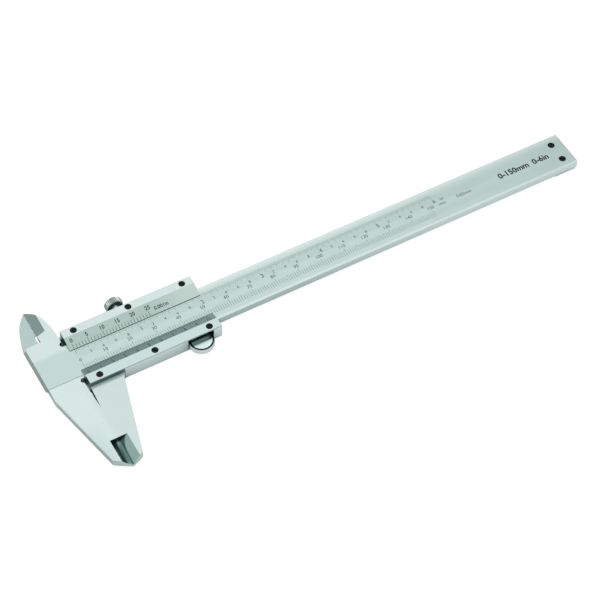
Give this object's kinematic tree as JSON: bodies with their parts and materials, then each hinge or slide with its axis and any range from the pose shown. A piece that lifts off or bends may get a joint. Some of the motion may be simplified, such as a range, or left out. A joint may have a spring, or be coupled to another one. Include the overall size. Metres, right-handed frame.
{
  "type": "vernier caliper",
  "caption": "Closed 150 mm vernier caliper lying on its back, with sliding outside and inside jaws, depth rod, lock screw and thumb roller.",
  "frame": {"origin": "on the plane where the measuring faces meet, on the beam's centreline, on the back face the caliper rests on", "axes": "+X along the beam to its free end, +Y towards the inside jaws, +Z out of the scale face"},
  "size_m": [0.2311, 0.0783, 0.007],
  "materials": {
    "satin_chrome": "satin hard chrome on steel",
    "turned_steel": "turned and plated",
    "black_oxide": "black oxide on steel",
    "bronze": "plain"
  },
  "bodies": {
    "beam_assembly": {"beam": "satin_chrome", "end_stop_plate": "satin_chrome", "end_stop_screws": "black_oxide"},
    "slider_assembly": {"slider_body": "satin_chrome", "upper_vernier_plate": "satin_chrome", "lower_vernier_plate": "satin_chrome", "upper_plate_screws": "black_oxide", "lower_plate_screws": "black_oxide", "gib_strip": "bronze", "gib_screws": "black_oxide", "roller_pin": "turned_steel", "depth_rod": "satin_chrome", "depth_rod_rivets": "turned_steel"},
    "lock_pad_body": {"lock_pad": "bronze"},
    "lock_screw_body": {"lock_screw": "turned_steel"},
    "thumb_roller_body": {"thumb_roller": "turned_steel"}
  },
  "joints": [
    {"name": "slider_slide", "type": "slide", "parent": "beam_assembly", "child": "slider_assembly", "axis": [1, 0, 0], "range_m": [0, 0.152]},
    {"name": "thumb_roller_turn", "type": "hinge", "parent": "slider_assembly", "child": "thumb_roller_body", "pos_m": [0.0456, -0.01302, 0.0026], "axis": [0, 0, 1], "range_deg": [-1, 1745]},
    {"name": "lock_pad_slide", "type": "slide", "parent": "slider_assembly", "child": "lock_pad_body", "axis": [0, 1, 0], "range_m": [-0.00043, 0.00045]},
    {"name": "lock_screw_turn", "type": "hinge", "parent": "lock_pad_body", "child": "lock_screw_body", "pos_m": [0.0242, 0.014, 0.00355], "axis": [0, 1, 0], "range_deg": [-345, 361]}
  ],
  "couplings": [
    {"joint": "thumb_roller_turn", "follows": "slider_slide", "rad_per_m": 200},
    {"joint": "lock_screw_turn", "follows": "lock_pad_slide", "rad_per_m": 13963}
  ]
}
